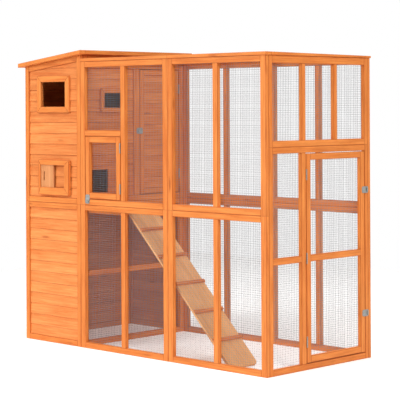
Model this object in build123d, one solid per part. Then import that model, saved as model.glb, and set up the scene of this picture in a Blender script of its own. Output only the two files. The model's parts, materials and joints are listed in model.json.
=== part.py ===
from build123d import *
import os
from math import atan2, cos, sin, tan

os.makedirs("parts", exist_ok=True)

# A tall wooden cat cage made of flat knock-down panels: a clapboard cat house at the left end
# and a mesh-walled run beside it, with a walk-in door, a ramp and a resting deck.
# All sizes are in millimetres. x runs along the front from the left end, y from the front face
# to the back, and z up. place() moves everything to the middle of the footprint at the end.

# Overall sizes
house_length = 528.0
panel_length = 755.0
cage_depth = 900.0
wall_height = 1730.0
roof_below_wall = 21.0
roof_rise = 62.0

# Timber of the wall panels
timber = 24.0
eased = 1.5
rail = 35.0
stile = 40.0
centre_stile = 38.0
house_stile = 36.0

# Clapboards
board_pitch = 66.8
board_foot = 12.0
board_head = 8.0
board_set_in = 6.0
upper_first_board = 60.0
lower_first_board = 62.0

# Wire mesh, here with a few wide gaps in place of the fine ones
net_thick = 1.2
net_bar = 4.0
net_corner_gap = 4.0

# Side wall, split higher than the front wall, with the walk-in door in its lower panel
side_upper_height = 498.0
side_stile = 30.0
side_post = 28.0
side_divider_at = 290.0
side_divider = 38.0
side_mid_rail_at = 596.0
side_mid_rail = 36.0
side_head = 42.0

# Doors
door_gap = 4.0
door_stile = 36.0
door_rail = 36.0
vent_bay_height = 381.0

# Inner wall between house and run
inner_stile = 36.0
inner_post = 49.0
inner_door_at = 491.0
inner_head_below_wall = 38.0
inner_foot = 37.0
lower_mid_rail_at = 426.0
cat_door_side = 91.0
cat_door_width = 140.0
cat_door_above_split = 65.0
cat_door_height = 140.0

# Windows, by their clear opening
window_x = 157.0
window_width = 230.0
window_below_roof = 251.0
window_height = 153.0
window_trim = 37.0
inner_window_y = 195.0
inner_window_width = 150.0
inner_window_above_split = 585.0
inner_window_height = 91.0
inner_window_trim = 28.0
trim_stand = 4.0

# Sliding hatch on the house front, by the clear opening of its face frame
hatch_x = 163.0
hatch_length = 225.0
hatch_above_split = 95.0
hatch_height = 138.0
hatch_left = 20.0
hatch_right = 42.0
hatch_head = 30.0
hatch_foot = 47.0
hatch_lip = 8.0
hatch_face_thick = 5.0
hatch_stand = 14.0
hatch_panel_length = 128.0
hatch_panel_thick = 8.0
hatch_hole_from = 2.0
hatch_hole_length = 100.0
hatch_grip_at = 30.0
hatch_grip_width = 9.0
hatch_grip_height = 58.0
slide_clear = 0.5

# House floor and its bearers
floor_thick = 12.0
bearer = 22.0
floor_bearer_depth = 34.0

# Roofs
roof_board = 25.0
roof_edge = 45.0
eave_left = 36.0
eave_right = 32.0
eave_front = 30.0
deck_sheet = 12.0
felt_thick = 2.0
run_roof_thick = 19.0
run_roof_fall = 7.0
run_roof_edge = 45.0
run_roof_over = 6.0
run_roof_front = 4.0

# Resting deck, its bearers and the ramp
deck_length = 352.0
deck_depth = 414.0
deck_board = 15.0
deck_boards = 4
deck_board_gap = 1.5
deck_below_split = 3.0
seat_clear = 0.3
ramp_run = 858.0
ramp_near = 43.0
ramp_width = 224.0
ramp_thick = 15.0
ramp_round = 25.0
cleat_first = 183.0
cleat_pitch = 207.0
cleats = 5
cleat_width = 20.0
cleat_thick = 10.0
cleat_over = 4.0

# Butt hinges
knuckle_r = 3.5
pin_r = 1.6
pin_clear = 0.05
leaf_thick = 1.5
leaf_depth = 18.0
hinge_length = 60.0
ramp_hinge_length = 120.0
hinge_in = 120.0
vent_hinge_in = 70.0
knuckle_gap = 0.4

# Turn latches: a knob on the frame that passes through a slotted plate on the door
latch_reach = 18.0
latch_plate = 38.0
latch_base_width = 19.0
latch_base_height = 33.0
stem_r = 2.6
wing_length = 24.0
wing_width = 7.0
wing_thick = 4.0
wing_from = 4.2
wing_corner = 2.0
latch_corner = 4.0
hasp_corner = 7.0
hasp_run = 24.0
hasp_rise = 4.0
hasp_short = 6.0
slot_clear = 1.6
side_latch_top = 972.0
side_latch_low = 263.0
inner_latch_above_split = 439.0
vent_latch_in = 24.0

cage_length = house_length + 2 * panel_length
split = wall_height / 2
roof_low = wall_height - roof_below_wall
side_split = wall_height - side_upper_height
vent_header_at = split + rail + vent_bay_height
inner_head_at = wall_height - inner_head_below_wall
cat_door_sill = split + cat_door_above_split
window_sill = roof_low - window_below_roof
inner_window_sill = split + inner_window_above_split
hatch_sill = split + hatch_above_split
deck_top = split - deck_below_split
inner_latch_at = split + inner_latch_above_split
net_lap = stile - timber - net_corner_gap
inside_back = cage_depth - timber
side_door_from = side_divider_at + side_divider
side_door_to = inside_back - side_post
inner_door_to = inside_back - inner_stile
latch_stand = wing_from + wing_thick
x_middle = (cage_length + latch_stand - eave_left) / 2
y_middle = cage_depth / 2


def place(solids):
    moved = [Pos(-x_middle, -y_middle, 0) * solid for solid in solids]
    return Compound(children=moved)


def save(name, solids):
    export_step(place(solids), f"parts/{name}.step")


def roof_under(x):
    return roof_low + roof_rise * x / house_length


def block(x0, x1, y0, y1, z0, z1):
    centre = Pos((x0 + x1) / 2, (y0 + y1) / 2, (z0 + z1) / 2)
    return centre * Box(x1 - x0, y1 - y0, z1 - z0)


def board(x0, x1, y0, y1, z0, z1):
    # Planed timber with its four long edges eased.
    spans = ((x1 - x0, Axis.X), (y1 - y0, Axis.Y), (z1 - z0, Axis.Z))
    grain = max(spans, key=lambda span: span[0])[1]
    plain = block(x0, x1, y0, y1, z0, z1)
    return chamfer(plain.edges().filter_by(grain), eased)


class Wall:
    # A flat wall. s runs along it, d runs inwards from its outer face, z runs up.
    def __init__(self, along, face, inward):
        self.along = along
        self.face = face
        self.inward = inward

    def at(self, s, d, z):
        across = self.face + self.inward * d
        return (s, across, z) if self.along == "x" else (across, s, z)

    def corners(self, s0, s1, d0, d1, z0, z1):
        near = self.at(s0, d0, z0)
        far = self.at(s1, d1, z1)
        low = [min(a, b) for a, b in zip(near, far)]
        high = [max(a, b) for a, b in zip(near, far)]
        return low[0], high[0], low[1], high[1], low[2], high[2]

    def block(self, *limits):
        return block(*self.corners(*limits))

    def board(self, *limits):
        return board(*self.corners(*limits))

    def prism(self, s0, s1, outline):
        face = make_face(Polyline([self.at(s0, d, z) for d, z in outline], close=True))
        way = (1, 0, 0) if self.along == "x" else (0, 1, 0)
        return extrude(face, amount=s1 - s0, dir=way)

    def plate(self, sketch, s, z, d0, d1):
        # A flat sketch, drawn with s to the right and z up, given the thickness d0 to d1.
        origin = self.at(s, (d0 + d1) / 2, z)
        if self.along == "x":
            plane = Plane(origin=origin, x_dir=(1, 0, 0), z_dir=(0, -1, 0))
        else:
            plane = Plane(origin=origin, x_dir=(0, 1, 0), z_dir=(1, 0, 0))
        return extrude(plane * sketch, amount=(d1 - d0) / 2, both=True)

    def fitting_plane(self, s, z, x_way):
        # A frame for metal fittings on the outer face: local z points away from the wall.
        out = [a - b for a, b in zip(self.at(0, -1, 0), self.at(0, 0, 0))]
        return Plane(origin=self.at(s, 0, z), x_dir=x_way, z_dir=tuple(out))


front = Wall("x", 0.0, 1)
back = Wall("x", cage_depth, -1)
left = Wall("y", 0.0, 1)
inner = Wall("y", house_length, -1)
side = Wall("y", cage_length, -1)


def frame(wall, s0, s1, z0, z1, stiles, rails, centres=()):
    # Two full-height stiles with rails, and any centre stiles, between them.
    first, last = stiles
    foot, head = rails
    pieces = [
        wall.board(s0, s0 + first, 0, timber, z0, z1),
        wall.board(s1 - last, s1, 0, timber, z0, z1),
        wall.board(s0 + first, s1 - last, 0, timber, z0, z0 + foot),
        wall.board(s0 + first, s1 - last, 0, timber, z1 - head, z1),
    ]
    for c0, width in centres:
        pieces.append(wall.board(c0, c0 + width, 0, timber, z0 + foot, z1 - head))
    return pieces


def net_sketch(width, height, cols, rows):
    step_s = (width - net_bar) / cols
    step_z = (height - net_bar) / rows
    gap = Rectangle(step_s - net_bar, step_z - net_bar)
    return Rectangle(width, height) - GridLocations(step_s, step_z, cols, rows) * gap


def net(wall, s0, s1, z0, z1, cols=2, rows=4):
    # One bay's mesh, lapped on to the inner face of the timber all round.
    width = s1 - s0 + 2 * net_lap
    height = z1 - z0 + 2 * net_lap
    sketch = net_sketch(width, height, cols, rows)
    return wall.plate(sketch, (s0 + s1) / 2, (z0 + z1) / 2, timber, timber + net_thick)


def seams(z0, z1, first):
    levels = [z0]
    level = z0 + first
    while level < z1 - 1:
        levels.append(level)
        level += board_pitch
    levels.append(z1)
    return levels


def clapboard(wall, s0, s1, z0, z1):
    out_foot = board_set_in
    back_face = board_set_in + board_foot
    out_head = back_face - board_head
    return wall.prism(s0, s1, [(back_face, z0), (back_face, z1), (out_head, z1), (out_foot, z0)])


def clapboards(wall, s0, s1, levels, holes=()):
    # Rows of boards. A hole is (s0, s1, z0, z1), cut through every board that it meets.
    pieces = []
    for low, high in zip(levels, levels[1:]):
        row = clapboard(wall, s0, s1, low, high)
        for h0, h1, z0, z1 in holes:
            if z0 < high and z1 > low:
                row = row - wall.block(h0, h1, -timber, 2 * timber, z0, z1)
        pieces += row.solids()
    return pieces


def under_roof(solids):
    # Cuts what reaches above the underside of the sloping house roof.
    x0, x1 = -eave_left, house_length + eave_right
    top = wall_height * 2
    cutter = left.prism(-eave_front, cage_depth + eave_front,
                        [(x0, roof_under(x0)), (x1, roof_under(x1)), (x1, top), (x0, top)])
    return [solid - cutter for solid in solids]


def mitred(wall, opening, borders, d0, d1):
    # Four boards mitred round an opening (s0, s1, z0, z1), with the widths of their faces
    # given as (left, right, foot, head).
    s0, s1, z0, z1 = opening
    left_face, right_face, foot, head = borders
    inside = [(s0, z0), (s1, z0), (s1, z1), (s0, z1)]
    outside = [(s0 - left_face, z0 - foot), (s1 + right_face, z0 - foot),
               (s1 + right_face, z1 + head), (s0 - left_face, z1 + head)]
    pieces = []
    for k in range(4):
        n = (k + 1) % 4
        corners = [outside[k], outside[n], inside[n], inside[k]]
        face = make_face(Polyline([wall.at(s, d0, z) for s, z in corners], close=True))
        way = Vector(*wall.at(0, d1, 0)) - Vector(*wall.at(0, d0, 0))
        pieces.append(extrude(face, amount=d1 - d0, dir=way.normalized()))
    return pieces


upper_levels = seams(split + rail, roof_low + roof_rise, upper_first_board)
lower_levels = seams(rail, split - rail, lower_first_board)
house_from = house_stile
house_to = house_length - house_stile
window = (window_x, window_x + window_width, window_sill, window_sill + window_height)
inner_window = (inner_window_y, inner_window_y + inner_window_width,
                inner_window_sill, inner_window_sill + inner_window_height)


def house_gable(wall, holes):
    # The house's front or back: an upper panel with a sloping head and a lower panel.
    top = roof_low + roof_rise
    upper = [
        wall.board(0, house_from, 0, timber, split, top),
        wall.board(house_to, house_length, 0, timber, split, top),
        wall.board(house_from, house_to, 0, timber, split, split + rail),
    ]
    head = [(x, roof_under(x) - drop) for x, drop in
            ((house_from, rail), (house_to, rail), (house_to, 0), (house_from, 0))]
    face = make_face(Polyline([wall.at(x, 0, z) for x, z in head], close=True))
    upper = under_roof(upper) + [extrude(face, amount=timber, dir=(0, wall.inward, 0))]
    lower = frame(wall, 0, house_length, 0, split, (house_stile, house_stile), (rail, rail))

    boards = clapboards(wall, house_from, house_to, upper_levels, holes)
    x0, x1 = house_from, house_to
    slope_top = wall_height * 2
    above = left.prism(-eave_front, cage_depth + eave_front,
                       [(x0, roof_under(x0) - rail), (x1, roof_under(x1) - rail),
                        (x1, slope_top), (x0, slope_top)])
    fitted = []
    for board in boards:
        cut = board - above
        if cut.volume > 1:
            fitted += cut.solids()
    lower_boards = clapboards(wall, house_from, house_to, lower_levels)
    return upper, fitted, lower, lower_boards


def make_house_walls():
    hatch_hole = (hatch_x + hatch_hole_from, hatch_x + hatch_hole_from + hatch_hole_length,
                  hatch_sill, hatch_sill + hatch_height)
    upper, upper_boards, lower, lower_boards = house_gable(front, [window, hatch_hole])
    save("house_front_upper_frame", upper)
    save("house_front_upper_boards", upper_boards)
    save("house_front_lower_frame", lower)
    save("house_front_lower_boards", lower_boards)

    upper, upper_boards, lower, lower_boards = house_gable(back, [])
    save("house_back_frame", upper + lower)
    save("house_back_boards", upper_boards + lower_boards)

    s0, s1 = timber, inside_back
    b0, b1 = s0 + house_stile, s1 - house_stile
    stiles = (house_stile, house_stile)
    upper = under_roof(frame(left, s0, s1, split, roof_low + timber, stiles,
                             (rail, rail + timber)))
    lower = frame(left, s0, s1, 0, split, stiles, (rail, rail))
    levels = seams(split + rail, roof_low - rail, upper_first_board)
    save("house_end_frame", upper + lower)
    save("house_end_boards", clapboards(left, b0, b1, levels) +
         clapboards(left, b0, b1, lower_levels))


def make_window_trim():
    for name, wall, opening, face in (("window_trim", front, window, window_trim),
                                      ("inner_window_trim", inner, inner_window,
                                       inner_window_trim)):
        save(name, mitred(wall, opening, (face,) * 4, -trim_stand, board_set_in))


def make_hatch():
    # A panel that slides in the space between the clapboards and a mitred face frame. Packing
    # strips behind the frame stand back by the lip, so the panel's edges run behind it.
    s0, s1 = hatch_x, hatch_x + hatch_length
    z0, z1 = hatch_sill, hatch_sill + hatch_height
    faces = (hatch_left, hatch_right, hatch_foot, hatch_head)
    d_face = -hatch_stand + hatch_face_thick
    save("hatch_frame", mitred(front, (s0, s1, z0, z1), faces, -hatch_stand, d_face))

    p0, p1 = s0 - hatch_lip, s1 + hatch_lip
    low, high = z0 - hatch_lip, z1 + hatch_lip
    save("hatch_packing", [
        front.block(s0 - hatch_left, s1 + hatch_right, d_face, board_set_in,
                    z0 - hatch_foot, low),
        front.block(s0 - hatch_left, s1 + hatch_right, d_face, board_set_in,
                    high, z1 + hatch_head),
        front.block(s0 - hatch_left, p0, d_face, board_set_in, low, high),
        front.block(p1, s1 + hatch_right, d_face, board_set_in, low, high),
    ])

    height = high - low - 2 * slide_clear
    middle = p0 + slide_clear + hatch_panel_length / 2
    outline = Rectangle(hatch_panel_length, height)
    outline -= Pos(s0 + hatch_grip_at - middle, 0) * SlotOverall(
        hatch_grip_height, hatch_grip_width, rotation=90)
    d0 = d_face + slide_clear
    save("hatch_panel", [front.plate(outline, middle, (low + high) / 2,
                                     d0, d0 + hatch_panel_thick)])


def make_inner_wall():
    s0, s1 = timber, inside_back
    top = roof_low + roof_rise + timber
    foot_top = split + inner_foot
    post = inner_door_at - inner_post
    upper = [
        inner.board(s0, s0 + inner_stile, 0, timber, split, top),
        inner.board(inner_door_to, s1, 0, timber, split, top),
        inner.board(s0 + inner_stile, inner_door_to, 0, timber, split, foot_top),
        inner.board(s0 + inner_stile, inner_door_to, 0, timber, inner_head_at, top),
        inner.board(post, inner_door_at, 0, timber, foot_top, inner_head_at),
    ]
    save("inner_wall_upper_frame", under_roof(upper))

    levels = seams(foot_top, inner_head_at, upper_first_board - inner_foot + rail)
    doorway = (cat_door_side, cat_door_side + cat_door_width,
               cat_door_sill, cat_door_sill + cat_door_height)
    save("inner_wall_boards", clapboards(inner, s0 + inner_stile, post, levels,
                                         [inner_window, doorway]))

    lower = frame(inner, s0, s1, 0, split, (inner_stile, inner_stile), (rail, rail))
    mid0, mid1 = lower_mid_rail_at, lower_mid_rail_at + rail
    b0, b1 = s0 + inner_stile, s1 - inner_stile
    lower.append(inner.board(b0, b1, 0, timber, mid0, mid1))
    save("inner_wall_lower_frame", lower)
    meet = (mid0 + mid1) / 2
    nets = [net(inner, b0, b1, rail, meet - net_lap - net_thick, 5, 2),
            net(inner, b0, b1, meet + net_lap + net_thick, split - rail, 5, 2)]
    save("inner_wall_lower_mesh", nets)


def make_house_floor():
    x0, x1 = timber, house_length - timber - net_thick
    z0 = split - floor_bearer_depth
    rows = (timber, (cage_depth - bearer) / 2, inside_back - bearer)
    save("house_floor_bearers", [board(x0, x1, y, y + bearer, z0, split) for y in rows])
    save("house_floor", [block(timber, house_length - timber, timber, inside_back,
                               split, split + floor_thick)])


def make_house_roof():
    # Edge boards all round, a thin sheet let in between them, and roofing felt on the sheet.
    x0, x1 = -eave_left, house_length + eave_right
    y0, y1 = -eave_front, cage_depth + eave_front

    def slab(xa, xb, ya, yb, low, high):
        outline = [(xa, roof_under(xa) + low), (xb, roof_under(xb) + low),
                   (xb, roof_under(xb) + high), (xa, roof_under(xa) + high)]
        return left.prism(ya, yb, outline)

    e = roof_edge
    save("house_roof_frame", [
        slab(x0, x1, y0, y0 + e, 0, roof_board),
        slab(x0, x1, y1 - e, y1, 0, roof_board),
        slab(x0, x0 + e, y0 + e, y1 - e, 0, roof_board),
        slab(x1 - e, x1, y0 + e, y1 - e, 0, roof_board),
    ])
    sheet_low = roof_board - felt_thick - deck_sheet
    save("house_roof_sheet", [slab(x0 + e, x1 - e, y0 + e, y1 - e, sheet_low,
                                   sheet_low + deck_sheet)])
    save("house_roof_felt", [slab(x0 + e, x1 - e, y0 + e, y1 - e, roof_board - felt_thick,
                                  roof_board)])


def make_run_roof():
    # Two frames of boards over the run, planed to fall a little to the back, with mesh on top.
    y0, y1 = -run_roof_front, cage_depth + run_roof_front
    e = run_roof_edge

    def top(y):
        return wall_height + run_roof_thick - run_roof_fall * (y - y0) / (y1 - y0)

    def piece(xa, xb, ya, yb):
        return front.prism(xa, xb, [(ya, wall_height), (yb, wall_height),
                                    (yb, top(yb)), (ya, top(ya))])

    boards = []
    nets = []
    for index in range(2):
        x0 = house_length + index * panel_length
        x1 = x0 + panel_length + index * run_roof_over
        middle = (x0 + x1) / 2
        boards += [piece(x0, x1, y0, y0 + e), piece(x0, x1, y1 - e, y1)]
        for a in (x0, middle - e / 2, x1 - e):
            boards.append(piece(a, a + e, y0 + e, y1 - e))
        for a, b in ((x0 + e, middle - e / 2), (middle + e / 2, x1 - e)):
            sketch = net_sketch(b - a + 2 * net_lap, y1 - y0 - 2 * e + 2 * net_lap, 2, 4)
            plane = Plane(origin=((a + b) / 2, cage_depth / 2, top(cage_depth / 2)),
                          x_dir=(1, 0, 0), z_dir=(0, run_roof_fall, y1 - y0))
            nets.append(extrude(plane * sketch, amount=net_thick))
    save("run_roof_frame", boards)
    save("run_roof_mesh", nets)


def panel_bays(x0):
    middle = x0 + (panel_length - centre_stile) / 2
    return ((x0 + stile, middle), (middle + centre_stile, x0 + panel_length - stile))


def make_run_walls():
    stiles = (stile, stile)
    rails = (rail, rail)
    low = (rail, split - rail)
    high = (split + rail, wall_height - rail)
    for wall, wall_name in ((front, "front"), (back, "back")):
        upper_nets = []
        lower_nets = []
        for index, panel_name in enumerate(("mid", "right")):
            x0 = house_length + index * panel_length
            x1 = x0 + panel_length
            bays = panel_bays(x0)
            centre = [(bays[0][1], centre_stile)]
            upper = frame(wall, x0, x1, split, wall_height, stiles, rails, centre)
            lower = frame(wall, x0, x1, 0, split, stiles, rails, centre)
            vent_bay = wall is front and index == 0
            if vent_bay:
                header = (vent_header_at, vent_header_at + rail)
                upper.append(wall.board(*bays[0], 0, timber, *header))
                upper_nets.append(net(wall, *bays[0], header[1], high[1], 2, 2))
                upper_nets.append(net(wall, *bays[1], *high))
            else:
                upper_nets += [net(wall, *bay, *high) for bay in bays]
            lower_nets += [net(wall, *bay, *low) for bay in bays]
            save(f"{wall_name}_{panel_name}_upper_frame", upper)
            save(f"{wall_name}_{panel_name}_lower_frame", lower)
        save(f"{wall_name}_upper_mesh", upper_nets)
        save(f"{wall_name}_lower_mesh", lower_nets)


def make_side_wall():
    s0, s1 = timber, inside_back
    inside = s1 - side_stile - (s0 + side_stile)
    bay = (inside - 2 * side_stile) / 3
    posts = [s0 + side_stile + bay, s0 + 2 * side_stile + 2 * bay]
    upper = frame(side, s0, s1, side_split, wall_height, (side_stile, side_stile),
                  (rail, side_head), [(post, side_stile) for post in posts])
    save("side_upper_frame", upper)
    z0, z1 = side_split + rail, wall_height - side_head
    nets = [net(side, start, start + bay, z0, z1, 2, 3)
            for start in (s0 + side_stile, posts[0] + side_stile, posts[1] + side_stile)]

    lower = frame(side, s0, s1, 0, side_split, (side_stile, side_post), (rail, rail),
                  [(side_divider_at, side_divider)])
    mid0, mid1 = side_mid_rail_at, side_mid_rail_at + side_mid_rail
    lower.append(side.board(s0 + side_stile, side_divider_at, 0, timber, mid0, mid1))
    save("side_lower_frame", lower)
    nets.append(net(side, s0 + side_stile, side_divider_at, rail, mid0, 2, 3))
    nets.append(net(side, s0 + side_stile, side_divider_at, mid1, side_split - rail, 2, 3))
    save("side_mesh", nets)


def make_deck():
    x0 = house_length
    x1 = x0 + deck_length
    y0 = timber + net_thick + seat_clear
    y1 = y0 + deck_depth
    z1 = deck_top - deck_board
    z0 = z1 - rail
    save("deck_bearers", [
        board(x0, x1, y0, y0 + bearer, z0, z1),
        board(x0, x1, y1 - bearer, y1, z0, z1),
        board(x0, x0 + bearer, y0 + bearer, y1 - bearer, z0, z1),
        board(x1 - bearer, x1, y0 + bearer, y1 - bearer, z0, z1),
    ])
    width = (deck_length - (deck_boards - 1) * deck_board_gap) / deck_boards
    boards = []
    for index in range(deck_boards):
        a = x0 + index * (width + deck_board_gap)
        boards.append(board(a, a + width, y0, y1, z1, deck_top))
    save("deck_boards", boards)


ramp_angle = atan2(deck_top, ramp_run)
ramp_along = Vector(cos(ramp_angle), 0, -sin(ramp_angle))
ramp_up = Vector(sin(ramp_angle), 0, cos(ramp_angle))
ramp_head = Vector(house_length + deck_length + door_gap, ramp_near + ramp_width / 2, deck_top)


def make_ramp():
    # The plank's head is cut upright beside the deck and its foot stands on the ground.
    end = (deck_top - ramp_thick * cos(ramp_angle)) / sin(ramp_angle)
    lean = ramp_thick * tan(ramp_angle)
    outline = make_face(Polyline((0, 0), (end, 0), (end, -ramp_thick), (lean, -ramp_thick),
                                 close=True))
    section = Plane(origin=ramp_head + Vector(0, -ramp_width / 2, 0), x_dir=ramp_along,
                    z_dir=(0, -1, 0))
    plank = extrude(section * outline, amount=-ramp_width)
    foot = plank.edges().filter_by(lambda edge: abs(edge.length - ramp_thick) < 0.001)
    plank = fillet(foot.sort_by(Axis.X)[-2:], ramp_round)
    save("ramp_plank", [plank])

    pieces = []
    for index in range(cleats):
        middle = ramp_head + ramp_along * (cleat_first + index * cleat_pitch)
        plane = Plane(origin=middle, x_dir=ramp_along, z_dir=ramp_up)
        cleat = extrude(plane * Rectangle(cleat_width, ramp_width + 2 * cleat_over),
                        amount=cleat_thick)
        pieces.append(cleat)
    save("ramp_cleats", pieces)


def hinge_leaf(length, way, middle):
    # A leaf and its knuckles about a local z axis, standing in the gap between two timbers.
    # Local y runs into the gap, and way says on which side of it the leaf seats. The moving
    # leaf holds the middle knuckle and the fixed one the two end knuckles.
    third = length / 3
    clear = knuckle_r + knuckle_gap
    near, far = sorted((way * door_gap / 2, way * (door_gap / 2 - leaf_thick)))
    leaf = block(near, far, clear, knuckle_r + leaf_depth, -length / 2, length / 2)
    if middle:
        spans = [(-third / 2 + knuckle_gap / 2, third / 2 - knuckle_gap / 2)]
    else:
        spans = [(-length / 2, -third / 2 - knuckle_gap / 2),
                 (third / 2 + knuckle_gap / 2, length / 2)]
    for z0, z1 in spans:
        leaf += block(near, far, 0, clear + knuckle_gap, z0, z1)
        leaf += Pos(0, 0, (z0 + z1) / 2) * Cylinder(knuckle_r, z1 - z0)
    if middle:
        return leaf - Cylinder(pin_r + pin_clear, length + 2)
    return leaf + Cylinder(pin_r, length)


def hinge(plane, length, fixed_way):
    # The pin is pressed into the fixed leaf, so the two are one piece.
    fixed = plane * hinge_leaf(length, fixed_way, False)
    moving = plane * hinge_leaf(length, -fixed_way, True)
    return fixed, moving


def door_hinges(wall, s, heights, before):
    # before says whether the fixed timber lies before the gap along the wall.
    into = Vector(*wall.at(0, 1, 0)) - Vector(*wall.at(0, 0, 0))
    along = into.cross(Vector(0, 0, 1))
    forward = Vector(*wall.at(1, 0, 0)) - Vector(*wall.at(0, 0, 0))
    fixed_way = -1 if (along.dot(forward) > 0) == before else 1
    fixed, moving = [], []
    for z in heights:
        plane = Plane(origin=wall.at(s, -knuckle_r, z), x_dir=along, z_dir=(0, 0, 1))
        fixed_leaf, moving_leaf = hinge(plane, hinge_length, fixed_way)
        fixed.append(fixed_leaf)
        moving.append(moving_leaf)
    return fixed, moving


def cut_corners(width, height, cut):
    return chamfer(Rectangle(width, height).vertices(), cut)


def turn_latch(plane):
    # Local z points away from the wall and local x towards the door. At rest the knob's wing
    # lies along the slot, so the door is free; a quarter turn locks it.
    base_thick = leaf_thick
    lift = base_thick + 0.5
    base = extrude(cut_corners(latch_base_width, latch_base_height, latch_corner),
                   amount=base_thick)
    base -= Cylinder(stem_r + pin_clear, 4 * base_thick)

    wing = extrude(Pos(0, 0, wing_from) * cut_corners(wing_width, wing_length, wing_corner),
                   amount=wing_thick)
    stem = Pos(0, 0, (wing_from + 0.3) / 2) * Cylinder(stem_r, wing_from - 0.3)
    knob = wing + stem

    far = latch_reach + hasp_run
    near = latch_plate / 2 - hasp_short
    bend = latch_reach - hasp_rise
    section = make_face(Polyline((far, 0), (far, leaf_thick), (bend + 4, leaf_thick),
                                 (bend, lift + leaf_thick), (-near, lift + leaf_thick),
                                 (-near, lift), (bend - 0.8, lift), (bend + 3.2, 0),
                                 close=True))
    upright = Plane(origin=(0, latch_plate / 2, 0), x_dir=(1, 0, 0), z_dir=(0, -1, 0))
    hasp = extrude(upright * section, amount=latch_plate)
    plan = cut_corners(far + near, latch_plate, hasp_corner)
    outline = extrude(Pos((far - near) / 2, 0, -1) * plan, amount=lift + 4)
    hasp = hasp & outline
    slot = cut_corners(wing_width + 2 * slot_clear, wing_length + 2 * slot_clear, wing_corner)
    hasp -= extrude(Pos(0, 0, -1) * slot, amount=lift + 4)
    return plane * base, plane * knob, plane * hasp


def make_door(wall, s0, s1, z0, z1, mid=None):
    g = door_gap
    a, b, c, d = s0 + g, s1 - g, z0 + g, z1 - g
    pieces = frame(wall, a, b, c, d, (door_stile, door_stile), (door_rail, door_rail))
    inside = (a + door_stile, b - door_stile)
    if mid is None:
        nets = [net(wall, *inside, c + door_rail, d - door_rail, 3, 4)]
    else:
        m0, m1 = mid
        pieces.append(wall.board(*inside, 0, timber, m0, m1))
        nets = [net(wall, *inside, c + door_rail, m0, 3, 3),
                net(wall, *inside, m1, d - door_rail, 3, 3)]
    return pieces, nets


def make_side_door(fixed_leaves, bases):
    mid = (side_mid_rail_at, side_mid_rail_at + side_mid_rail)
    z0, z1 = rail, side_split - rail
    pieces, nets = make_door(side, side_door_from, side_door_to, z0, z1, mid)
    save("side_door_frame", pieces)
    save("side_door_mesh", nets)
    heights = (z0 + hinge_in, (z0 + z1) / 2, z1 - hinge_in)
    fixed, moving = door_hinges(side, side_door_from + door_gap / 2, heights, True)
    fixed_leaves += fixed
    latch_s = side_door_to - door_gap + latch_reach
    for name, z in (("side_latch_top_knob", side_latch_top),
                    ("side_latch_low_knob", side_latch_low)):
        base, knob, hasp = turn_latch(side.fitting_plane(latch_s, z, (0, -1, 0)))
        bases.append(base)
        moving.append(hasp)
        save(name, [knob])
    save("side_door_fittings", moving)


def make_vent_door(fixed_leaves, bases):
    bay = panel_bays(house_length)[0]
    z0, z1 = split + rail, vent_header_at
    pieces, nets = make_door(front, *bay, z0, z1)
    save("vent_door_frame", pieces)
    save("vent_door_mesh", nets)
    heights = (z0 + vent_hinge_in, z1 - vent_hinge_in)
    fixed, moving = door_hinges(front, bay[1] - door_gap / 2, heights, False)
    fixed_leaves += fixed
    latch_z = z0 + door_gap - latch_reach
    plane = front.fitting_plane(bay[0] + vent_latch_in, latch_z, (0, 0, 1))
    base, knob, hasp = turn_latch(plane)
    bases.append(base)
    moving.append(hasp)
    save("vent_latch_knob", [knob])
    save("vent_door_fittings", moving)


def make_inner_door(fixed_leaves, bases):
    # A framed door with clapboards let in like the wall beside it.
    a, b = inner_door_at + door_gap, inner_door_to - door_gap
    c, d = split + inner_foot + door_gap, inner_head_at - door_gap
    save("inner_door_frame", frame(inner, a, b, c, d, (door_stile, door_stile),
                                   (door_rail, door_rail)))
    levels = seams(c + door_rail, d - door_rail, board_pitch)
    save("inner_door_boards", clapboards(inner, a + door_stile, b - door_stile, levels))
    fixed, moving = door_hinges(inner, inner_door_to - door_gap / 2,
                                (c + hinge_in, d - hinge_in), False)
    fixed_leaves += fixed
    plane = inner.fitting_plane(a - latch_reach, inner_latch_at, (0, 1, 0))
    base, knob, hasp = turn_latch(plane)
    bases.append(base)
    moving.append(hasp)
    save("inner_latch_knob", [knob])
    save("inner_door_fittings", moving)


def make_moving_parts():
    fixed_leaves, bases = [], []
    make_side_door(fixed_leaves, bases)
    make_vent_door(fixed_leaves, bases)
    make_inner_door(fixed_leaves, bases)
    axis = ramp_head + Vector(-door_gap / 2, 0, knuckle_r)
    fixed, moving = hinge(Plane(origin=axis, x_dir=(1, 0, 0), z_dir=(0, 1, 0)),
                          ramp_hinge_length, -1)
    save("ramp_hinge_leaf", [moving])
    save("hinge_fixed_leaves", fixed_leaves + [fixed])
    save("latch_bases", bases)


make_house_walls()
make_window_trim()
make_hatch()
make_inner_wall()
make_house_floor()
make_house_roof()
make_run_roof()
make_run_walls()
make_side_wall()
make_deck()
make_ramp()
make_moving_parts()
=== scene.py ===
# %% [markdown]
# # A stained wooden cat cage
# The real cage is a flat-pack kit: planed softwood frames with wire mesh stapled inside them, and
# a small house of overlapping boards at one end. The solids of every board already exist, so this
# lesson is about surfaces: it gives each board its own grain, knits real wire mesh into every
# bay, and lights the whole thing like a catalogue picture.

# %% Load the frame
import json
import math
import random

import bmesh
import bpy
from mathutils import Matrix, Vector


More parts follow.
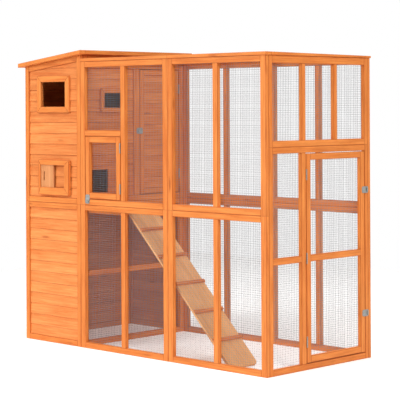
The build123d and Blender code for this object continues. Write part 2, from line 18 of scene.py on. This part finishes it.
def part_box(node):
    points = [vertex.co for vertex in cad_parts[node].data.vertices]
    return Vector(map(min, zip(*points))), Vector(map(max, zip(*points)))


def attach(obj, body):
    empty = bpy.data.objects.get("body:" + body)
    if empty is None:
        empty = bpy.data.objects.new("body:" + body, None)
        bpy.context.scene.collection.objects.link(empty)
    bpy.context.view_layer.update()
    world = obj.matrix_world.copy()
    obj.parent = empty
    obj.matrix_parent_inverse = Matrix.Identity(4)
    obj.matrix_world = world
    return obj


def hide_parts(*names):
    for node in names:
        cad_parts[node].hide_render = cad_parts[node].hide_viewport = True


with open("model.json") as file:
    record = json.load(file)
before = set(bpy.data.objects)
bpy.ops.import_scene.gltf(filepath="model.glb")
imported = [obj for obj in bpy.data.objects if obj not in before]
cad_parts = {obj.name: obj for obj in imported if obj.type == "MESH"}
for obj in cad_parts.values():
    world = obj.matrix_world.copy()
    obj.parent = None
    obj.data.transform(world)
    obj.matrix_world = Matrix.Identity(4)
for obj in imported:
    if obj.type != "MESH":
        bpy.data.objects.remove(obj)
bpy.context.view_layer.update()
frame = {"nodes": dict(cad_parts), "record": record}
solids = frame["nodes"]
slots = {part["node"]: part["material_slot"] for part in frame["record"]["subparts"]}
body_of = {node: body for body, nodes in frame["record"]["behaviour"]["bodies"].items()
           for node in nodes}

# %% [markdown]
# ## Shader helpers
# A material in Blender is a graph of nodes. Writing the graph by hand is wordy, so a few small
# helpers add a node, set its inputs and join it up. They keep the recipes below readable.

# %% Shader helpers


def new_material(name, roughness, metallic=0.0):
    material = bpy.data.materials.new(name)
    material.use_nodes = True
    shader = material.node_tree.nodes["Principled BSDF"]
    shader.inputs["Roughness"].default_value = roughness
    shader.inputs["Metallic"].default_value = metallic
    return material, material.node_tree, shader


def add(tree, kind, **inputs):
    node = tree.nodes.new(kind)
    for key, value in inputs.items():
        node.inputs[key.replace("_", " ")].default_value = value
    return node


def stretched(tree, source, scale):
    mapping = add(tree, "ShaderNodeMapping", Scale=scale)
    tree.links.new(source, mapping.inputs["Vector"])
    return mapping.outputs["Vector"]


def noise(tree, vector, scale, detail=3.0, roughness=0.5, distortion=0.0):
    node = add(tree, "ShaderNodeTexNoise", Scale=scale, Detail=detail, Roughness=roughness,
               Distortion=distortion)
    tree.links.new(vector, node.inputs["Vector"])
    return node.outputs["Fac"]


def ramp(tree, source, stops):
    node = tree.nodes.new("ShaderNodeValToRGB")
    elements = node.color_ramp.elements
    while len(elements) < len(stops):
        elements.new(0.5)
    for element, (position, color) in zip(elements, stops):
        element.position = position
        element.color = (*color, 1.0)
    tree.links.new(source, node.inputs["Fac"])
    return node.outputs["Color"]


def blend(tree, factor, a, b, mode="MIX"):
    node = tree.nodes.new("ShaderNodeMix")
    node.data_type = "RGBA"
    node.blend_type = mode
    sockets = (node.inputs["Factor"], node.inputs[6], node.inputs[7])
    for socket, value in zip(sockets, (factor, a, b)):
        if hasattr(value, "is_linked"):
            tree.links.new(value, socket)
        else:
            socket.default_value = value
    return node.outputs[2]


def bump(tree, shader, height, strength, distance):
    node = add(tree, "ShaderNodeBump", Strength=strength, Distance=distance)
    tree.links.new(height, node.inputs["Height"])
    tree.links.new(node.outputs["Normal"], shader.inputs["Normal"])


# %% [markdown]
# ## Stained softwood
# The cage is fir with a warm orange stain. Fir shows long streaks of early and late wood, fine
# pores and now and then a knot. Noise stretched along the board gives the streaks. The pattern
# must follow each board, so the material reads an attribute, grain, that holds a point's place
# along and across its own board. A second attribute, tone, makes no two boards alike.

# %% Stained softwood


def stained_wood(name, pale, deep, tone_spread=0.35, rough=0.6):
    material, tree, shader = new_material(name, rough)
    shader.inputs["Specular IOR Level"].default_value = 0.25
    grain = tree.nodes.new("ShaderNodeAttribute")
    grain.attribute_name = "grain"
    tone = tree.nodes.new("ShaderNodeAttribute")
    tone.attribute_name = "tone"
    along = grain.outputs["Vector"]
    streak = noise(tree, stretched(tree, along, (1.2, 26.0, 26.0)), 3.2, 4.0, 0.6, 0.35)
    ring = noise(tree, stretched(tree, along, (3.0, 150.0, 150.0)), 1.6, 2.0, 0.5, 0.2)
    pore = noise(tree, stretched(tree, along, (18.0, 420.0, 420.0)), 2.0, 2.0, 0.6)
    cloud = noise(tree, stretched(tree, along, (2.0, 6.0, 6.0)), 2.4, 2.0, 0.5)
    color = ramp(tree, streak, [(0.34, deep), (0.62, pale)])
    shade = [channel * 0.80 for channel in deep]
    fine = ramp(tree, ring, [(0.38, shade), (0.56, pale)])
    color = blend(tree, 0.34, color, fine)
    pores = ramp(tree, pore, [(0.36, (0.70, 0.62, 0.55)), (0.5, (1.0, 1.0, 1.0))])
    color = blend(tree, 0.35, color, pores, "MULTIPLY")
    patches = ramp(tree, cloud, [(0.35, (0.86, 0.80, 0.74)), (0.66, (1.06, 1.08, 1.1))])
    color = blend(tree, 0.6, color, patches, "MULTIPLY")
    tones = ramp(tree, tone.outputs["Fac"], [(0.0, (0.84, 0.76, 0.68)), (1.0, (1.1, 1.2, 1.34))])
    color = blend(tree, tone_spread, color, tones, "MULTIPLY")

    # Painted shade: the bevel faces, marked by the rim attribute, are darkened. This is mostly
    # painted shadow in the seams between boards and under the laps of the cladding, and partly
    # stain that gathers on the edges.
    rim = tree.nodes.new("ShaderNodeAttribute")
    rim.attribute_name = "rim"
    edge = ramp(tree, rim.outputs["Fac"], [(0.0, (1.0, 1.0, 1.0)), (1.0, (0.62, 0.46, 0.36))])
    color = blend(tree, 0.8, color, edge, "MULTIPLY")

    knots = add(tree, "ShaderNodeTexVoronoi", Scale=1.0)
    tree.links.new(stretched(tree, along, (2.6, 13.0, 13.0)), knots.inputs["Vector"])
    spot = ramp(tree, knots.outputs["Distance"], [(0.05, (0.42, 0.24, 0.14)),
                                                   (0.13, (1.0, 1.0, 1.0))])
    color = blend(tree, 0.55, color, spot, "MULTIPLY")
    tree.links.new(color, shader.inputs["Base Color"])
    bump(tree, shader, ring, 0.25, 0.0006)
    return material


timber = stained_wood("stained_timber", (0.84, 0.285, 0.062), (0.70, 0.175, 0.026))
cladding = stained_wood("stained_cladding", (0.86, 0.31, 0.085), (0.74, 0.19, 0.034), 0.7)
plywood = stained_wood("hatch_plywood", (0.68, 0.29, 0.11), (0.56, 0.20, 0.062), 0.2)
# Painted light: the ramp is paler than the frames, standing in for the light veil of the lit
# wires in front of it.
ramp_wood = stained_wood("pale_ramp", (0.95, 0.51, 0.21), (0.86, 0.40, 0.14), 0.2)
sheet_wood = stained_wood("stained_sheet", (0.62, 0.27, 0.10), (0.45, 0.17, 0.06), 0.2)
print("wood finishes:", timber.name, cladding.name, plywood.name, sheet_wood.name)

# %% [markdown]
# ## Zinc, wire and roofing felt
# The hinges and latches are zinc plated, with a faint mottle. The mesh is galvanised wire that
# has weathered, so it takes the same recipe with less metal in it. The roof wears mineral felt:
# dark, matt and grainy.

# %% Zinc, wire and roofing felt


def plated(name, pale, deep, roughness, metallic):
    material, tree, shader = new_material(name, roughness, metallic)
    place = tree.nodes.new("ShaderNodeTexCoord").outputs["Object"]
    mottle = noise(tree, place, 420.0, 3.0, 0.6)
    tree.links.new(ramp(tree, mottle, [(0.35, deep), (0.65, pale)]), shader.inputs["Base Color"])
    bump(tree, shader, mottle, 0.15, 0.0002)
    return material


def roofing_felt():
    material, tree, shader = new_material("mineral_felt", 0.95)
    place = tree.nodes.new("ShaderNodeTexCoord").outputs["Object"]
    grit = noise(tree, place, 900.0, 2.0, 0.7)
    patch = noise(tree, place, 7.0, 3.0, 0.5)
    color = ramp(tree, grit, [(0.4, (0.035, 0.036, 0.035)), (0.62, (0.15, 0.15, 0.145))])
    wide = ramp(tree, patch, [(0.3, (0.75, 0.75, 0.75)), (0.7, (1.0, 1.0, 1.0))])
    tree.links.new(blend(tree, 0.7, color, wide, "MULTIPLY"), shader.inputs["Base Color"])
    bump(tree, shader, grit, 0.6, 0.001)
    return material


zinc = plated("zinc_plate", (0.42, 0.42, 0.40), (0.22, 0.22, 0.21), 0.38, 0.85)
wire = plated("galvanised_wire", (0.33, 0.33, 0.34), (0.25, 0.25, 0.26), 0.5, 0.25)
felt = roofing_felt()
finish_of_slot = {"timber": timber, "cladding": cladding, "plywood": plywood,
                  "sheet": sheet_wood, "felt": felt, "wire": wire, "zinc": zinc}
print("finishes:", sorted(finish_of_slot))

# %% [markdown]
# ## Telling the boards apart
# A node of the frame is a list of loose triangles in which several boards follow one another.
# Each board is a closed shell, so walking along the triangles and crossing off matched edges
# shows where one board ends: the moment that no edge is left open. Splitting there lets every
# board be softened and given grain by itself.

# %% Telling the boards apart
cells_per_metre = 20000
same_point = 0.00002
flat_angle = math.radians(0.5)


def shells(mesh):
    mesh.calc_loop_triangles()
    spot = [tuple(round(c * cells_per_metre) for c in vertex.co) for vertex in mesh.vertices]
    found, current, open_edges = [], [], set()
    for triangle in mesh.loop_triangles:
        corners = list(triangle.vertices)
        current.append([mesh.vertices[i].co.copy() for i in corners])
        keys = [spot[i] for i in corners]
        for a, b in zip(keys, keys[1:] + keys[:1]):
            if (b, a) in open_edges:
                open_edges.discard((b, a))
            else:
                open_edges.add((a, b))
        if not open_edges:
            found.append(current)
            current = []
    if current:
        found.append(current)
    return found


def shell_mesh(triangles):
    board = bmesh.new()
    for corners in triangles:
        board.faces.new([board.verts.new(co) for co in corners])
    bmesh.ops.remove_doubles(board, verts=board.verts, dist=same_point)
    bmesh.ops.dissolve_limit(board, angle_limit=flat_angle, verts=board.verts,
                             edges=board.edges)
    return board


counts = {node: len(shells(solids[node].data)) for node in solids}
print("boards and plates in all:", sum(counts.values()))

# %% [markdown]
# ## Softened edges and grain
# Planed timber never has a knife edge. A small bevel catches the light, and painted shade on its
# faces draws the shadow lines in the joints between the boards of a frame. The grain attribute is
# written afterwards: the longest side of a board becomes its first coordinate, and a random
# offset keeps neighbours from matching.

# %% Softened edges and grain
luck = random.Random(7)
sharp_angle = math.radians(25)
farthest_offset = 9
darker_tones = (0.0, 0.65)
paler_tones = (0.6, 1.0)


def soften(board, width):
    edges = [edge for edge in board.edges
             if len(edge.link_faces) == 2 and edge.calc_face_angle(0.0) > sharp_angle]
    # rim marks the bevel faces, which the wood material darkens with painted shade for the seams.
    rim = board.faces.layers.float.new("rim")
    if edges:
        made = bmesh.ops.bevel(board, geom=edges, offset=width, offset_type="OFFSET", segments=2,
                               profile=0.5, affect="EDGES", clamp_overlap=True, material=-1)
        for face in made["faces"]:
            face[rim] = 1.0


def longest_first(board):
    corners = [vertex.co for vertex in board.verts]
    size = [max(c[k] for c in corners) - min(c[k] for c in corners) for k in range(3)]
    return sorted(range(3), key=lambda k: -size[k])


def write_grain(board, along=None, paler=False):
    grain = board.verts.layers.float_vector.new("grain")
    tone = board.verts.layers.float.new("tone")
    offset = Vector([luck.uniform(0, farthest_offset) for _ in range(3)])
    shade = luck.uniform(*(paler_tones if paler else darker_tones))
    if along is not None:
        across = along.orthogonal().normalized()
        through = along.cross(across)
        axes = (along, across, through)
    else:
        axes = [Vector([1.0 if k == axis else 0.0 for k in range(3)])
                for axis in longest_first(board)]
    for vertex in board.verts:
        vertex[grain] = Vector([vertex.co.dot(axis) for axis in axes]) + offset
        vertex[tone] = shade


def finish_piece(name, parts, body, node_names, slot_name, finish=None):
    whole = bmesh.new()
    for part in parts:
        scratch = bpy.data.meshes.new("scratch")
        part.to_mesh(scratch)
        whole.from_mesh(scratch)
        bpy.data.meshes.remove(scratch)
        part.free()
    mesh = bpy.data.meshes.new(name)
    whole.to_mesh(mesh)
    whole.free()
    piece = bpy.data.objects.new(name, mesh)
    bpy.context.scene.collection.objects.link(piece)
    mesh.materials.append(finish or finish_of_slot[slot_name])
    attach(piece, body)
    if node_names:
        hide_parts(*node_names)
    return piece


# %% [markdown]
# ## Dressing the timber
# Every wooden node gets a dressed twin that stands in its place. The ramp lies at an angle and
# the grain of the hatch panel stands upright, so those two directions are given. For
# the rest it is simply the longest side.

# %% Dressing the timber
edge_width = {"timber": 0.0016, "cladding": 0.0012, "plywood": 0.0008, "sheet": 0.0008}
low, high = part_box("ramp_plank")
ramp_way = Vector((high.x - low.x, 0.0, low.z - high.z)).normalized()
grain_way = {"ramp_plank": ramp_way, "hatch_panel": Vector((0, 0, 1))}
# The ramp's paler tones are painted light for the veil of wires in front of it. The lower front
# boards and the hatch panel are given paler tones too.
paler_nodes = ("house_front_lower_boards", "ramp_plank", "hatch_panel")
wooden = [node for node in sorted(solids) if slots[node] in edge_width]
for node in wooden:
    boards = []
    for triangles in shells(solids[node].data):
        board = shell_mesh(triangles)
        soften(board, edge_width[slots[node]])
        write_grain(board, grain_way.get(node), node in paler_nodes)
        boards.append(board)
    twin = finish_piece(node + "_wood", boards, body_of[node], [node], slots[node],
                        ramp_wood if node == "ramp_plank" else None)
    print(twin.name, len(twin.data.polygons), "faces")

# %% [markdown]
# ## Wire mesh
# The real mesh is welded wire on a pitch of about half an inch. One wire is a thin square prism,
# a bay is a row of upright wires with a row of level ones laid on them, and both rows end behind
# the timber. The holed plates of the frame only mark where each sheet of mesh lies, so every
# sheet is read from them and knitted at the true pitch.

# %% Wire mesh
pitch = 0.0132
wire_size = 0.0008
short_of_frame = 0.004
plate_of_net = 0.0012


def sheet_box(triangles):
    corners = [co for triangle in triangles for co in triangle]
    low = Vector([min(c[k] for c in corners) for k in range(3)])
    high = Vector([max(c[k] for c in corners) for k in range(3)])
    return low, high


def wire_run(knit, centre, size, tilt=0.0):
    made = bmesh.ops.create_cube(knit, size=1.0)["verts"]
    bmesh.ops.scale(knit, vec=size, verts=made)
    if tilt:
        bmesh.ops.rotate(knit, cent=(0, 0, 0), matrix=Matrix.Rotation(tilt, 3, "X"), verts=made)
    bmesh.ops.translate(knit, vec=centre, verts=made)


def knit_sheet(low, high, tilt=0.0):
    knit = bmesh.new()
    size = high - low
    thin = min(range(3), key=lambda k: size[k]) if not tilt else 2
    first, second = [k for k in range(3) if k != thin]
    middle = (low + high) / 2
    layers = {first: -0.5, second: 0.5}
    for axis in (first, second):
        other = second if axis == first else first
        count = int(size[other] / pitch)
        for index in range(count + 1):
            offset = (index - count / 2) * pitch
            centre = middle.copy()
            centre[other] += offset
            centre[thin] += layers[axis] * wire_size
            if tilt:
                centre.z += (centre.y - middle.y) * math.tan(tilt)
            bar = [wire_size] * 3
            bar[axis] = size[axis] - short_of_frame
            wire_run(knit, centre, bar, tilt if tilt and axis == 1 else 0.0)
    return knit


mesh_nodes = [node for node in sorted(solids) if slots[node] == "wire"]
for node in mesh_nodes:
    sheets = []
    for triangles in shells(solids[node].data):
        low, high = sheet_box(triangles)
        fall = 0.0
        if node == "run_roof_mesh":
            fall = -math.atan2(high.z - low.z - plate_of_net, high.y - low.y)
        sheets.append(knit_sheet(low, high, fall))
    mesh_piece = finish_piece(node + "_wires", sheets, body_of[node], [node], "wire")
    print(mesh_piece.name, len(mesh_piece.data.polygons), "faces")

# %% [markdown]
# ## Metal fittings and the roof felt
# The hinge leaves with their pins, the hasps, the knobs and the felt already have their true
# shape, so they only take a material. Their material slots are swapped in place.

# %% Metal fittings and the roof felt
for node in sorted(solids):
    if slots[node] in ("zinc", "felt"):
        data = solids[node].data
        data.materials.clear()
        data.materials.append(finish_of_slot[slots[node]])
        print(node, "->", data.materials[0].name)

# %% [markdown]
# ## Screw heads
# Each hasp is held to its door by two small round-headed screws. A head is the cap of a sphere,
# pressed flat, and it is set on the part of the hasp that lies on the door, clear of the turn
# knob. A hasp is told from a hinge leaf by its width.

# %% Screw heads
head_radius = 0.0024
head_flatness = 0.4
from_hasp_end = 0.009
from_hasp_middle = 0.011
hasp_least_width = 0.030
plate_thick = 0.0015


def screw_head(centre, outward):
    head = bmesh.new()
    bmesh.ops.create_uvsphere(head, u_segments=12, v_segments=6, radius=head_radius)
    bmesh.ops.bisect_plane(head, geom=head.verts[:] + head.edges[:] + head.faces[:],
                           plane_co=(0, 0, 0), plane_no=(0, 0, -1), clear_outer=True)
    rim = [edge for edge in head.edges if edge.is_boundary]
    bmesh.ops.contextual_create(head, geom=rim)
    bmesh.ops.scale(head, vec=(1, 1, head_flatness), verts=head.verts)
    turn = outward.to_track_quat("Z", "Y").to_matrix()
    bmesh.ops.rotate(head, cent=(0, 0, 0), matrix=turn, verts=head.verts)
    bmesh.ops.translate(head, vec=centre, verts=head.verts)
    return head


def hasp_screws(node, outward, toward_door):
    across = outward.cross(toward_door)
    heads = []
    for triangles in shells(solids[node].data):
        corners = [co for triangle in triangles for co in triangle]
        spans = {}
        for name, axis in (("out", outward), ("door", toward_door), ("across", across)):
            reach = [co.dot(axis) for co in corners]
            spans[name] = (min(reach), max(reach))
        if spans["across"][1] - spans["across"][0] < hasp_least_width:
            continue
        if spans["door"][1] - spans["door"][0] < hasp_least_width:
            continue
        middle = sum(spans["across"]) / 2
        for side in (-from_hasp_middle, from_hasp_middle):
            centre = (outward * (spans["out"][0] + plate_thick)
                      + toward_door * (spans["door"][1] - from_hasp_end)
                      + across * (middle + side))
            heads.append(screw_head(centre, outward))
    piece = finish_piece(node + "_screws", heads, body_of[node], [], "zinc")
    print(piece.name, len(heads), "screws")


hasp_screws("side_door_fittings", Vector((1, 0, 0)), Vector((0, -1, 0)))
hasp_screws("vent_door_fittings", Vector((0, -1, 0)), Vector((0, 0, 1)))
hasp_screws("inner_door_fittings", Vector((1, 0, 0)), Vector((0, 1, 0)))

# %% [markdown]
# ## Floor and light
# The picture was taken in a white studio: the floor and the background burn out to white, and a
# broad soft light comes from the front and left, so the front is bright and the walk-in end is a
# shade deeper. The floor looks white to the camera but still takes the cage's shadow. The world
# is plain white to the camera and in reflections, and dim where it lights the cage.

# %% Floor and light
floor_half = 4.2
floor_color = (0.96, 0.95, 0.94, 1.0)
white_color = (1.0, 1.0, 1.0, 1.0)
floor_glow = 0.17
world_light = 0.17
world_seen = 1.0


def studio_floor():
    material, tree, shader = new_material("studio_floor", 0.9)
    shader.inputs["Base Color"].default_value = floor_color
    shader.inputs["Emission Color"].default_value = white_color
    shader.inputs["Emission Strength"].default_value = floor_glow
    plane = bmesh.new()
    bmesh.ops.create_grid(plane, x_segments=1, y_segments=1, size=floor_half)
    mesh = bpy.data.meshes.new("floor")
    plane.to_mesh(mesh)
    plane.free()
    mesh.materials.append(material)
    floor = bpy.data.objects.new("floor", mesh)
    bpy.context.scene.collection.objects.link(floor)
    return floor


def studio_world():
    world = bpy.data.worlds.new("studio")
    world.use_nodes = True
    tree = world.node_tree
    lit = tree.nodes["Background"]
    lit.inputs["Color"].default_value = white_color
    lit.inputs["Strength"].default_value = world_light
    seen = add(tree, "ShaderNodeBackground", Strength=world_seen)
    seen.inputs["Color"].default_value = white_color
    path = tree.nodes.new("ShaderNodeLightPath")
    mix = tree.nodes.new("ShaderNodeMixShader")
    white = path.outputs["Is Camera Ray"]
    for kind in ("Is Glossy Ray", "Is Transmission Ray"):
        either = tree.nodes.new("ShaderNodeMath")
        either.operation = "MAXIMUM"
        tree.links.new(white, either.inputs[0])
        tree.links.new(path.outputs[kind], either.inputs[1])
        white = either.outputs[0]
    tree.links.new(white, mix.inputs["Fac"])
    tree.links.new(lit.outputs[0], mix.inputs[1])
    tree.links.new(seen.outputs[0], mix.inputs[2])
    tree.links.new(mix.outputs[0], tree.nodes["World Output"].inputs["Surface"])
    bpy.context.scene.world = world


def soft_lamp(name, place, aim, size, watts):
    lamp = bpy.data.lights.new(name, "AREA")
    lamp.shape = "SQUARE"
    lamp.size = size
    lamp.energy = watts
    holder = bpy.data.objects.new(name, lamp)
    holder.location = place
    holder.rotation_euler = (Vector(aim) - Vector(place)).to_track_quat("-Z", "Y").to_euler()
    bpy.context.scene.collection.objects.link(holder)
    return holder


studio_floor()
studio_world()
soft_lamp("key", (-2.6, -6.0, 4.0), (0.0, 0.0, 0.8), 3.5, 286)
soft_lamp("fill", (5.4, -2.0, 4.6), (0.9, 0.0, 0.9), 2.5, 225)
soft_lamp("sky", (0.0, 0.0, 7.0), (0.0, 0.0, 0.0), 11.0, 580)
print("lamps:", [lamp.name for lamp in bpy.data.lights])

# %% [markdown]
# ## Camera
# The place and lens come from fitting the corners of the panels. The camera stood at about chest
# height with its back plate upright, so upright boards stay upright, and the picture is a
# lower crop of a taller view, which is what the vertical shift does.

# %% Camera
view_yaw = math.radians(44.52)
view_roll = math.radians(-0.283)
forward = Vector((-math.sin(view_yaw), math.cos(view_yaw), 0.0))
level = Vector((math.cos(view_yaw), math.sin(view_yaw), 0.0))
upright = Vector((0.0, 0.0, 1.0))
right = level * math.cos(view_roll) + upright * math.sin(view_roll)
top = upright * math.cos(view_roll) - level * math.sin(view_roll)
lens = bpy.data.cameras.new("camera")
lens.lens = 133.93
lens.sensor_width = 36.0
lens.shift_y = -0.2342
camera = bpy.data.objects.new("camera", lens)
camera.matrix_world = Matrix.Translation((6.3629, -6.371, 1.456)) @ Matrix(
    (right, top, -forward)).transposed().to_4x4()
bpy.context.scene.collection.objects.link(camera)
bpy.context.scene.camera = camera
bpy.context.scene.view_settings.view_transform = "Standard"
print("camera at", [round(v, 3) for v in camera.location])
